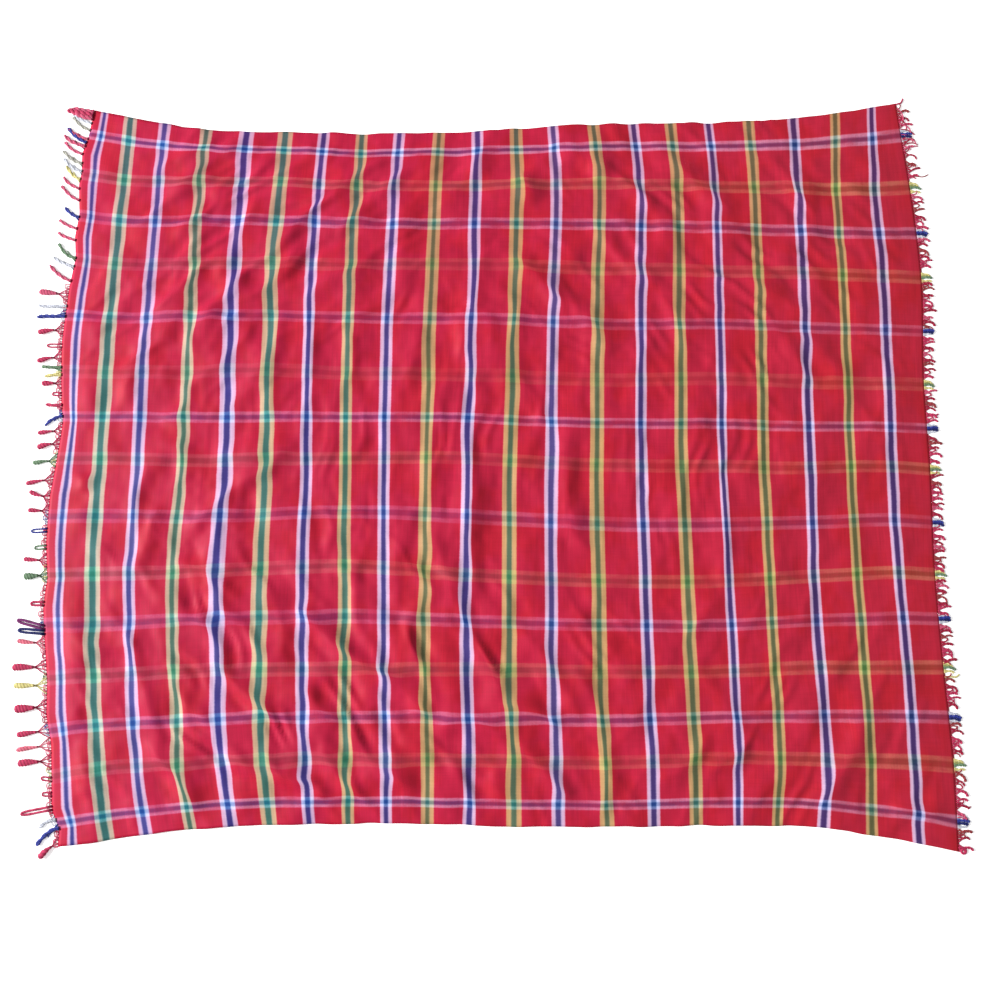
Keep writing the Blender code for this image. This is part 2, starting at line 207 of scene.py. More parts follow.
# relief: a table of folds, fitted to how light and shade fall on the real cloth, and fine crumple
folds = {
    "edgeFade": 0.075, "endStart": 0.30, "endShare": 0.2, "endReach": 0.02, "lift": 1.22, "sharp": 0.42,
    "crestRound": 0.0011, "floorSoft": 0.0012, "level": 0.019, "pull": 0.45, "pullReach": 0.015,
    "wander": ((0.05, 0.004, 3), (0.022, 0.0015, 4)),  # of a fold's line: cell and size (m), seed
    # from (x, y) to (x, y), sideways bend, width and rise, in millimetres on the floor
    "rows": (
        (-696, 621, -569, 685, 3, 68, 5.9), (-658, 569, -522, 668, -3, 80, 6.5),
        (-449, 440, -201, 661, -9, 71, 5.9), (-318, 460, -138, 647, -10, 58, 4.4),
        (-47, 576, 25, 754, 2, 71, 3.2), (44, 588, 189, 722, 9, 58, 2.2), (85, 602, 107, 559, 3, 80, 5.9),
        (165, 650, 265, 614, -12, 70, 6.5), (346, 523, 276, 606, 18, 80, 4.7), (404, 641, 526, 522, 7, 69, 5.7),
        (586, 656, 692, 514, -10, 69, 6.0), (-652, 470, -586, 546, -3, 56, 3.5),
        (-515, 459, -484, 545, -2, 54, 4.0), (-508, 325, -387, 442, 11, 66, 5.0),
        (-168, 304, -175, 520, 2, 64, 2.0), (354, 360, 221, 522, -17, 59, 3.0),
        (957, 420, 901, 486, 15, 80, 7.0), (-703, 202, -623, 318, 5, 80, 4.3),
        (-676, 301, -592, 400, -1, 68, 6.1), (-610, 228, -551, 303, -16, 69, 7.0),
        (-586, 298, -503, 382, 0, 63, 6.0), (-373, 333, -214, 405, -18, 78, 6.1),
        (-59, 307, -51, 209, -3, 62, 4.8), (-2, 459, -13, 102, 18, 80, 5.3), (9, 299, 8, 167, -9, 80, 7.0),
        (66, 427, 164, 323, -1, 74, 5.7), (68, 332, 37, 144, -2, 80, 5.2), (154, 343, 264, 229, -8, 68, 4.8),
        (310, 425, 421, 201, -18, 53, 4.4), (545, 382, 659, 307, 3, 63, 5.1), (927, 156, 959, 349, 18, 77, 7.0),
        (-739, 103, -694, 277, -10, 51, 3.6), (-656, 76, -607, 142, 15, 61, 4.0),
        (-627, 138, -461, 302, 18, 61, 3.4), (-529, 102, -455, 228, 18, 80, 4.1),
        (-450, 82, -414, 320, -4, 64, 4.3), (-360, 74, -363, 302, 1, 50, 2.7),
        (-282, 155, -283, 261, 13, 46, 2.9), (-161, 148, -129, 278, 0, 59, 3.2),
        (75, 223, 126, 68, 18, 67, 4.0), (306, 31, 344, 273, -18, 68, 2.7), (598, 274, 682, 154, 8, 70, 4.6),
        (650, 262, 723, 171, -12, 80, 4.0), (-815, -60, -814, -47, 0, 80, 6.2),
        (-618, -62, -626, 28, 14, 80, 3.9), (-544, 7, -384, 24, 7, 80, 7.0), (-436, -41, -413, 10, -2, 40, 2.2),
        (-100, -125, -83, 181, -18, 59, 3.3), (169, 59, 195, -161, 16, 77, 6.6),
        (335, -81, 359, 12, 16, 80, 2.8), (-701, -151, -658, 1, -18, 62, 4.1),
        (-691, -225, -656, -103, 4, 50, 3.9), (-593, -156, -411, -15, -17, 53, 4.3),
        (-580, -253, -518, -63, 9, 61, 2.6), (-302, -181, -320, -102, 5, 59, 4.6),
        (-57, -275, -65, -149, 5, 45, 2.2), (-21, 43, -24, -309, 5, 63, 6.0),
        (167, -136, 199, -184, 3, 55, 4.2), (485, 36, 477, -294, 3, 62, 3.5),
        (659, -223, 674, -33, -3, 52, 2.4), (-941, -293, -866, -295, 5, 76, 7.0),
        (-695, -377, -833, -360, -6, 80, 7.0), (-614, -215, -514, -294, -18, 62, 5.2),
        (-602, -321, -508, -406, -18, 66, 7.0), (-535, -289, -427, -401, 1, 50, 4.8),
        (-417, -293, -405, -411, -12, 71, 3.7), (-372, -303, -273, -405, -6, 66, 7.0),
        (-247, -340, -248, -205, -6, 44, 3.5), (-164, -406, -171, -162, -12, 52, 2.1),
        (-142, -220, -97, -275, -2, 59, 6.2), (-137, -303, -120, -409, 18, 63, 5.7),
        (-96, -150, -37, -332, 8, 77, 6.4), (187, -294, 208, -452, -11, 52, 2.4),
        (466, -287, 408, -353, 3, 58, 3.2), (940, -392, 931, -229, 13, 73, 7.0),
        (-779, -413, -869, -384, 2, 80, 7.0), (-702, -341, -632, -543, 4, 55, 5.2),
        (-609, -448, -540, -525, 7, 52, 5.8), (-534, -403, -401, -513, 4, 58, 7.0),
        (-350, -466, -280, -520, 5, 57, 5.3), (-278, -372, -179, -439, 12, 60, 7.0),
        (-191, -437, -109, -511, -3, 79, 7.0), (-107, -414, -95, -484, 7, 45, 4.0),
        (-41, -303, 61, -626, -17, 79, 5.0), (34, -468, -24, -378, 6, 60, 5.0),
        (41, -487, 148, -530, -4, 66, 7.0), (54, -333, 186, -518, -13, 57, 3.2),
        (177, -424, 226, -543, -11, 58, 5.1), (291, -544, 412, -339, -15, 70, 2.5),
        (562, -590, 405, -387, -13, 51, 2.2), (951, -599, 944, -396, 3, 80, 5.3),
        (-843, -637, -776, -476, -11, 63, 2.0), (-735, -746, -798, -551, 4, 68, 3.2),
        (-657, -557, -557, -679, -4, 67, 6.9), (-459, -476, -307, -623, -18, 45, 3.0),
        (-425, -580, -341, -641, 16, 55, 6.9), (-352, -630, -505, -586, -5, 62, 7.0),
        (-315, -561, -237, -661, 15, 54, 6.4), (-309, -658, -326, -631, 1, 42, 4.6),
        (-266, -641, -133, -651, -18, 80, 5.7), (-161, -622, -262, -539, -18, 55, 4.4),
        (-154, -636, -174, -578, -1, 75, 6.3), (-75, -555, -14, -701, -1, 43, 3.6),
        (22, -613, 32, -665, 5, 53, 3.1), (40, -547, -88, -538, 18, 68, 6.2),
        (73, -558, 167, -663, 10, 67, 5.9), (239, -558, 220, -697, -8, 71, 4.3),
        (347, -637, 432, -548, 8, 54, 3.6), (436, -613, 508, -560, 18, 72, 3.8),
        (643, -677, 735, -525, 12, 72, 5.7), (-923, -862, -810, -737, -18, 80, 7.0),
        (957, -706, 783, -678, -6, 55, 7.0),
    ),
}
crumple = {
    "wave": 0.0036, "waveCell": 0.050, "fine": 0.0007, "fineCell": 0.015, "low": 0.0025,
    "crease": 0.0078, "creaseCell": 0.027, "creaseStretch": 0.28, "creaseReach": 0.95,
    "bendSize": 0.8, "bendCell": 3.0,  # of a crease's line, in crease cells
    "patchLow": 0.75, "patchRange": 0.35, "patchCell": 0.15, "leftShare": 1.0, "rightShare": 0.85,
    "drift": 0.0012, "driftCell": 0.11, "selvage": 0.0016, "selvageCell": 0.035, "selvageReach": 0.015,
}
# slant of the small creases (degrees from the fringe-to-fringe way), the part of the cloth where
# they are at home (middle x, middle y, half width, half depth, m) and their strength
slants = (
    (38, -0.45, 0.42, 0.50, 0.36, 1.0), (-48, 0.45, 0.38, 0.55, 0.40, 0.9), (86, 0.0, 0.02, 0.90, 0.28, 0.85),
    (-58, -0.30, -0.42, 0.62, 0.38, 1.15), (62, 0.62, -0.55, 0.35, 0.35, 0.7),
)


def softNoise(x, y, cell, seed):
    # random heights between -1 and 1 on a square lattice, joined by smooth S-shaped blends
    table = np.random.default_rng(seed).uniform(-1, 1, (256, 256))
    gx, gy = x / cell + 90.5, y / cell + 90.5
    ix, iy = np.floor(gx).astype(int), np.floor(gy).astype(int)
    fx, fy = gx - ix, gy - iy
    fx, fy = fx * fx * (3 - 2 * fx), fy * fy * (3 - 2 * fy)
    ix, iy = ix % 255, iy % 255
    low = table[ix, iy] * (1 - fx) + table[ix + 1, iy] * fx
    high = table[ix, iy + 1] * (1 - fx) + table[ix + 1, iy + 1] * fx
    return low * (1 - fy) + high * fy


def creaseNoise(x, y, slant, cell, seed):
    # crests that run along a slant: they follow the lines where a stretched noise changes sign,
    # and rise to those lines from both sides in an S-shaped blend
    c, n = math.cos(math.radians(slant)), math.sin(math.radians(slant))
    bent = softNoise(x, y, cell * crumple["bendCell"], seed + 5) * cell * crumple["bendSize"]
    value = softNoise((x * c + y * n) * crumple["creaseStretch"], -x * n + y * c + bent, cell, seed)
    crest = np.clip(1 - np.abs(value) / crumple["creaseReach"], 0, 1)
    return crest * crest * (3 - 2 * crest)


def smallCreases(x, y):
    # each slant of creases is highest near its own home and sinks away from it; where two
    # slants cross, the higher one counts most
    total = np.zeros_like(x)
    for k, (slant, cx, cy, halfX, halfY, strength) in enumerate(slants):
        near = strength * np.exp(-((x - cx) / halfX) ** 2 - ((y - cy) / halfY) ** 2)
        total += (near * creaseNoise(x, y, slant, crumple["creaseCell"], 60 + 7 * k)) ** 3
    return np.cbrt(total)


def foldWander(x, y):
    # how far the lines of the folds stray sideways at each place (m)
    return sum(softNoise(x, y, cell, seed) * size for cell, size, seed in folds["wander"])


def foldParts(x, y, stray, row):
    # for one fold: sideways distance from its bent line (m), the direction of "sideways", how far
    # its two ends let it count (1 to 0), its half width and its rise
    x0, y0, x1, y1, bend, width, rise = row
    ax, ay = x0 / 1000 - lay["centreX"], y0 / 1000 - lay["centreY"]
    dx, dy = (x1 - x0) / 1000, (y1 - y0) / 1000
    length = math.hypot(dx, dy)
    s = ((x - ax) * dx + (y - ay) * dy) / length**2
    off = ((x - ax) * dy - (y - ay) * dx) / length + stray
    off -= bend / 1000 * (1 - (2 * np.clip(s, 0, 1) - 1) ** 2)
    beyond = np.clip(np.abs(s - 0.5) - folds["endStart"], 0, None) * length
    end = np.cos(np.pi / 2 * np.clip(beyond / (folds["endShare"] * length + folds["endReach"]), 0, 1)) ** 2
    return off, (dy / length, -dx / length), end, width / 2000, folds["lift"] * rise / 1000


def foldHeight(x, y):
    # each fold is a ridge: part squared cosine across its width, part one minus a sine, which
    # gives it a crest; the ridges add up
    total, stray = np.zeros_like(x), foldWander(x, y)
    for row in folds["rows"]:
        off, _, end, half, rise = foldParts(x, y, stray, row)
        t = np.clip(np.hypot(off, folds["crestRound"]) / half, 0, 1) * np.pi / 2
        total += rise * end * ((1 - folds["sharp"]) * np.cos(t) ** 2 + folds["sharp"] * (1 - np.sin(t)))
    return total


def foldPull(x, y):
    # a fold takes up cloth, so the threads on both sides of it are drawn towards its line: the
    # pull grows to its most at "reach" from the line and dies out beyond
    pullX, pullY, stray = np.zeros_like(x), np.zeros_like(y), foldWander(x, y)
    for row in folds["rows"]:
        off, (nx, ny), end, _, rise = foldParts(x, y, stray, row)
        r = off / folds["pullReach"]
        pull = -folds["pull"] * rise * end * r * np.exp((1 - r**2) / 2)
        pullX += pull * nx
        pullY += pull * ny
    return pullX, pullY


def relief(x, y, along):
    # the table's folds plus waves, slanting creases and fine crumple; what would go below the
    # floor is flattened, the highest crests level off, and all of it dies out towards the two
    # fringed edges, which lie flat
    share = crumple["leftShare"] + (crumple["rightShare"] - crumple["leftShare"]) * along / lay["long"]
    patchy = crumple["patchLow"] + crumple["patchRange"] * softNoise(x, y, crumple["patchCell"], 17)
    small = share * (crumple["wave"] * (softNoise(x, y, crumple["waveCell"], 11) + 1)
                     + crumple["crease"] * smallCreases(x, y) * patchy
                     + crumple["fine"] * (softNoise(x, y, crumple["fineCell"], 31) + 1))
    fade = np.clip(np.minimum(along, lay["long"] - along) / folds["edgeFade"], 0, 1)
    fade = fade * fade * (3 - 2 * fade)
    height = foldHeight(x, y) + small - crumple["low"]
    height = 0.5 * (height + np.hypot(height, folds["floorSoft"]))
    return folds["level"] * np.tanh(height / folds["level"]) * fade


# small helpers for meshes and shader nodes
def meshFrom(name, verts, faces):
    mesh = bpy.data.meshes.new(name)
    mesh.from_pydata(np.asarray(verts, float).tolist(), [], faces)
    mesh.polygons.foreach_set("use_smooth", np.full(len(mesh.polygons), True))
    mesh.update()
    piece = bpy.data.objects.new(name, mesh)
    scene.collection.objects.link(piece)
    return piece


def storeVector(piece, name, values):
    layer = piece.data.attributes.new(name, "FLOAT_VECTOR", "POINT")
    layer.data.foreach_set("vector", np.asarray(values, np.float32).ravel())


def newGroup(name, inputs, outputs):
    # a shader node group with named sockets; gives the tree, its input node and output node
    tree = bpy.data.node_groups.new(name, "ShaderNodeTree")
    for label, kind, value in inputs:
        socket = tree.interface.new_socket(label, in_out="INPUT", socket_type=kind)
        if value is not None:
            socket.default_value = value
    for label, kind in outputs:
        tree.interface.new_socket(label, in_out="OUTPUT", socket_type=kind)
    return tree, tree.nodes.new("NodeGroupInput"), tree.nodes.new("NodeGroupOutput")


class Wiring:
    # shorthand for adding nodes to one tree; a value is a number, a colour or another socket
    def __init__(self, tree):
        self.tree = tree

    def feed(self, socket, value):
        if isinstance(value, bpy.types.NodeSocket):
            self.tree.links.new(value, socket)
        else:
            socket.default_value = value

    def math(self, operation, a, b=0.0, c=None):
        node = self.tree.nodes.new("ShaderNodeMath")
        node.operation = operation
        self.feed(node.inputs[0], a)
        self.feed(node.inputs[1], b)
        if c is not None:
            self.feed(node.inputs[2], c)
        return node.outputs[0]

    def vectorMath(self, operation, a, b):
        node = self.tree.nodes.new("ShaderNodeVectorMath")
        node.operation = operation
        self.feed(node.inputs[0], a)
        self.feed(node.inputs["Scale"] if operation == "SCALE" else node.inputs[1], b)
        return node.outputs[0]

    def mix(self, share, a, b, blend="MIX"):
        node = self.tree.nodes.new("ShaderNodeMix")
        node.data_type, node.blend_type = "RGBA", blend
        self.feed(node.inputs[0], share)
        self.feed(node.inputs[6], a)
        self.feed(node.inputs[7], b)
        return node.outputs[2]

    def step(self, value, low, high, smooth=True):
        # 0 below "low", 1 above "high", an S-shaped blend between
        node = self.tree.nodes.new("ShaderNodeMapRange")
        node.interpolation_type = "SMOOTHSTEP" if smooth else "LINEAR"
        self.feed(node.inputs[0], value)
        self.feed(node.inputs[1], low)
        self.feed(node.inputs[2], high)
        return node.outputs[0]

    def noise(self, vector, scale, detail=2.0, rough=0.5):
        node = self.tree.nodes.new("ShaderNodeTexNoise")
        self.feed(node.inputs["Vector"], vector)
        node.inputs["Scale"].default_value = scale
        node.inputs["Detail"].default_value = detail
        node.inputs["Roughness"].default_value = rough
        return node.outputs[0]

    def scaled(self, vector, size, location=(0.0, 0.0, 0.0)):
        node = self.tree.nodes.new("ShaderNodeMapping")
        self.feed(node.inputs["Vector"], vector)
        node.inputs["Scale"].default_value = size
        node.inputs["Location"].default_value = location
        return node.outputs[0]

    def attribute(self, name, output="Vector"):
        node = self.tree.nodes.new("ShaderNodeAttribute")
        node.attribute_name = name
        return node.outputs[output]

    def parts(self, vector):
        node = self.tree.nodes.new("ShaderNodeSeparateXYZ")
        self.feed(node.inputs[0], vector)
        return node.outputs[0], node.outputs[1], node.outputs[2]

    def group(self, tree, **values):
        node = self.tree.nodes.new("ShaderNodeGroup")
        node.node_tree = tree
        for label, value in values.items():
            self.feed(node.inputs[label], value)
        return node.outputs


# shared surface effects
number, vector, colour = "NodeSocketFloat", "NodeSocketVector", "NodeSocketColor"


def bandMaskGroup():
    # masks of one band of coloured threads: the whole band and its core, their edges a little
    # ragged because threads wander, and how far out a thread lies in the pair of outer stripes
    tree, source, sink = newGroup(
        "bandMasks",
        [("Distance", number, 0.0), ("Whole", number, 0.013), ("Core", number, 0.005),
         ("Soft", number, 0.0012), ("Ragged", number, 0.0)],
        [("Band", number), ("Core", number), ("Outward", number)])
    w, take = Wiring(tree), source.outputs
    place = w.math("ADD", take["Distance"], take["Ragged"])
    band = w.math("SUBTRACT", 1.0, w.step(place, w.math("SUBTRACT", take["Whole"], take["Soft"]),
                                          w.math("ADD", take["Whole"], take["Soft"])))
    softer = w.math("MULTIPLY", take["Soft"], 1.35)
    core = w.math("SUBTRACT", 1.0, w.step(place, w.math("SUBTRACT", take["Core"], softer),
                                          w.math("ADD", take["Core"], softer)))
    tree.links.new(band, sink.inputs["Band"])
    tree.links.new(core, sink.inputs["Core"])
    tree.links.new(w.step(place, take["Core"], take["Whole"], smooth=False), sink.inputs["Outward"])
    return tree


def yarnColourGroup():
    # one set of threads: red ground, and in a band either white round blue or yellow round
    # green; the outer stripes change from edge to core, the core has its own tone in each band,
    # and each dye shifts from the left of the cloth to the right, partly its own change and partly
    # painted light, brighter at the left, where the side lamp is stronger
    tree, source, sink = newGroup(
        "yarnColour",
        [("Band", number, 0.0), ("Core", number, 0.0), ("Outward", number, 0.0), ("Kind", number, 0.0),
         ("Tone", number, 0.5), ("Rightward", number, 0.0), ("Red", colour, (0.8, 0.2, 0.3, 1.0))],
        [("Colour", colour)])
    w, take = Wiring(tree), source.outputs
    even = take["Rightward"]
    # the yellow's left-to-right shift, partly painted light, is done before the middle
    early = w.math("MINIMUM", w.math("MULTIPLY", even, 2.3), 1.0)  # yellow warms before the middle

    def shifting(name, share):
        return w.mix(share, litDyes[name + "Left"], litDyes[name + "Right"])

    white = w.mix(take["Outward"], shifting("whiteInner", even), shifting("whiteEdge", even))
    yellow = w.mix(take["Outward"], shifting("yellowInner", early), shifting("yellowEdge", early))
    blue = w.mix(take["Tone"], shifting("blueDeep", even), shifting("bluePale", even))
    green = w.mix(take["Tone"], shifting("greenDeep", even), shifting("greenOlive", even))
    outer = w.mix(take["Kind"], white, yellow)
    inner = w.mix(take["Kind"], blue, green)
    band = w.mix(take["Core"], outer, inner)
    tree.links.new(w.mix(take["Band"], take["Red"], band), sink.inputs["Colour"])
    return tree


def weaveGroup():
    # plain weave in metres of cloth: fine ribs of both thread sets, taking turns over and
    # under; also slubs, the long thick and thin places of single threads, and a haze of wider
    # streaks and clouds
    tree, source, sink = newGroup(
        "plainWeave",
        [("Cloth", vector, None), ("Pitch", number, 0.0014)],
        [("Height", number), ("Slub", number), ("Haze", number)])
    w, take = Wiring(tree), source.outputs
    u, v, _ = w.parts(take["Cloth"])
    turn = w.math("DIVIDE", math.pi, take["Pitch"])
    su = w.math("SINE", w.math("MULTIPLY", u, turn))
    sv = w.math("SINE", w.math("MULTIPLY", v, turn))
    checks = w.math("MULTIPLY", su, sv)
    height = w.math("MULTIPLY_ADD", checks, 0.5, 0.5)
    upSlub = w.noise(w.scaled(take["Cloth"], (420.0, 16.0, 1.0)), 1.0, 3.0, 0.6)
    sideSlub = w.noise(w.scaled(take["Cloth"], (14.0, 360.0, 1.0), (3.0, 7.0, 2.0)), 1.0, 3.0, 0.6)
    slub = w.math("MULTIPLY_ADD", upSlub, 0.62, w.math("MULTIPLY", sideSlub, 0.38))
    haze = w.math("MULTIPLY_ADD", w.noise(w.scaled(take["Cloth"], (140.0, 7.0, 1.0)), 1.0, 3.0, 0.6), 0.6,
                  w.math("MULTIPLY", w.noise(take["Cloth"], 9.0, 4.0, 0.55), 0.4))
    tree.links.new(height, sink.inputs["Height"])
    tree.links.new(slub, sink.inputs["Slub"])
    tree.links.new(haze, sink.inputs["Haze"])
    return tree


def displayColour(w, colour):
    # dyes are mixed as the eye sees them, then turned into light values
    node = w.tree.nodes.new("ShaderNodeGamma")
    w.feed(node.inputs[0], colour)
    node.inputs[1].default_value = 2.2
    return node.outputs[0]


def asSeen(r, g, b):
    return (r / 255, g / 255, b / 255, 1.0)


# thread colours as the eye sees them, with painted light: brighter towards the left, where the
# side lamp is stronger; the red threads that cross a band dull it, so a few dyes
# start out brighter than the screen's white or below its black
litDyes = {
    "redLeft": asSeen(206, 20, 71), "redRight": asSeen(190, 38, 61),
    "redWarmLeft": asSeen(206, 18, 57), "redWarmRight": asSeen(189, 33, 49),
    "whiteEdgeLeft": asSeen(258, 240, 272), "whiteEdgeRight": asSeen(252, 232, 266),
    "whiteInnerLeft": asSeen(222, 260, 296), "whiteInnerRight": asSeen(220, 242, 282),
    "yellowEdgeLeft": asSeen(233, 252, 212), "yellowEdgeRight": asSeen(226, 206, 128),
    "yellowInnerLeft": asSeen(206, 268, 230), "yellowInnerRight": asSeen(206, 216, 136),
    "blueDeepLeft": asSeen(-5, 60, 162), "blueDeepRight": asSeen(23, 46, 114),
    "bluePaleLeft": asSeen(20, 90, 182), "bluePaleRight": asSeen(54, 76, 130),
    "greenDeepLeft": asSeen(-32, 152, 132), "greenDeepRight": asSeen(28, 125, 95),
    "greenOliveLeft": asSeen(44, 150, 104), "greenOliveRight": asSeen(101, 118, 44),
}
bandMasks, yarnColour, plainWeave = bandMaskGroup(), yarnColourGroup(), weaveGroup()
print("shared effects built")


# the cloth
cloth = {
    "cell": 0.0061, "thick": 0.0016, "rimShare": 0.4, "rimReach": 0.012,
    "calmEnds": 0.05, "calmSides": 0.04,  # how near the edges the threads stop straying (m)
    "yarnShare": 0.27, "backShare": 0.08, "crossTint": (0.96, 0.90, 0.93, 1.0),
    "lightLeft": 0.590, "lightRight": 0.75, "upSoft": 0.0016, "sideSoft": 0.0017, "ragged": 0.0013,
    "roughness": 0.62, "weaveBump": 0.12, "weaveDepth": 0.0004,
    # patterns of the dye: how many cells to a metre each way, and where its noise starts and ends
    "mottleCells": (13.0, 9.0, 1.0), "mottleFrom": 0.42, "mottleTo": 0.66,
    "patchCells": (11.0, 30.0, 1.0), "patchFrom": 0.3, "patchTo": 0.62,
    "dotCells": (260.0, 420.0, 1.0), "raggedCells": 240.0,
    # each effect is "low" plus "gain" times its noise
    "patchLow": 0.50, "patchGain": 0.55, "dotLow": 0.55, "dotGain": 0.9, "slubLow": 0.85, "slubGain": 0.30,
    "hazeLow": 0.87, "hazeGain": 0.26, "rightFrom": 0.72, "rightGain": 0.6, "strongGain": 0.2,
}


def squares(number):
    # the four corners of every cell of a grid of vertex numbers, counted from above
    return np.stack([number[:-1, :-1].ravel(), number[1:, :-1].ravel(), number[1:, 1:].ravel(),
                     number[:-1, 1:].ravel()], 1)


def rimOf(number):
    # vertex numbers once round the grid's edge
    return np.concatenate([number[:, 0], number[-1, 1:], number[-2::-1, -1], number[0, -2:0:-1]])


def clothPiece():
    # a grid over the cut cloth's threads: each crossing goes to its place on the floor and is
    # raised by the relief; the underside keeps every second thread, and a rim joins the two
    along = gridLines(upBands, lay["long"], cloth["cell"])
    across = gridLines(sideBands, lay["wide"], cloth["cell"])
    x, y = layOut(along, across)
    fromEnds = np.minimum(along, lay["long"] - along)[:, None]
    fromSides = np.minimum(across, lay["wide"] - across)[None, :]
    inner = np.clip(fromEnds / cloth["calmEnds"], 0, 1)
    x = x + crumple["drift"] * softNoise(x, y, crumple["driftCell"], 41) * inner
    y = y + crumple["drift"] * softNoise(x, y, crumple["driftCell"], 43) * inner
    pullX, pullY = foldPull(x, y)
    inner = np.clip(fromSides / cloth["calmSides"], 0, 1) * inner
    x, y = x + pullX * inner, y + pullY * inner
    rim = np.exp(-fromSides / crumple["selvageReach"])
    y = y + crumple["selvage"] * softNoise(x, np.sign(y) + 0 * x, crumple["selvageCell"], 47) * rim
    z = relief(x, y, along[:, None] + 0 * y)
    thin = np.clip(fromEnds / cloth["rimReach"], 0, 1)
    top = np.stack([x, y, z + cloth["thick"] * (cloth["rimShare"] + (1 - cloth["rimShare"]) * thin)], -1)
    under = np.stack([x, y, z], -1)[::2, ::2]
    n, m = x.shape
    topNumber = np.arange(n * m).reshape(n, m)
    underNumber = n * m + np.arange(under.shape[0] * under.shape[1]).reshape(under.shape[:2])
    faces = squares(topNumber).tolist() + squares(underNumber)[:, ::-1].tolist()
    rimTop, rimUnder = rimOf(topNumber), rimOf(underNumber)
    t0, t1, t2 = rimTop[::2], rimTop[1::2], np.roll(rimTop, -2)[::2]
    u0, u1 = rimUnder, np.roll(rimUnder, -1)
    faces += np.stack([u0, u1, t2, t1, t0], 1).tolist()
    piece = meshFrom("clothSheet", np.concatenate([top.reshape(-1, 3), under.reshape(-1, 3)]), faces)

    # attributes and the cut cloth's own map, for both sides
    def both(values):
        size = values.shape[-1]
        return np.concatenate([values.reshape(-1, size), values[::2, ::2].reshape(-1, size)])

    ones = np.ones((n, m))
    for name, facts in (("upBand", [f[:, None] for f in bandFacts(upBands, along)]),
                        ("sideBand", [f[None, :] for f in bandFacts(sideBands, across)])):
        storeVector(piece, name, both(np.stack([ones * f for f in facts[:3]], -1)))
        storeVector(piece, name + "Kind", both(np.stack([ones * f for f in (*facts[3:], 0.0)], -1)))
    flat = both(np.stack([ones * along[:, None] / lay["long"], ones * across[None, :] / lay["wide"]], -1))
    corner = np.empty(len(piece.data.loops), np.int32)
    piece.data.loops.foreach_get("vertex_index", corner)
    layer = piece.data.uv_layers.new(name="cutCloth")
    layer.data.foreach_set("uv", flat[corner].astype(np.float32).ravel())
    return piece


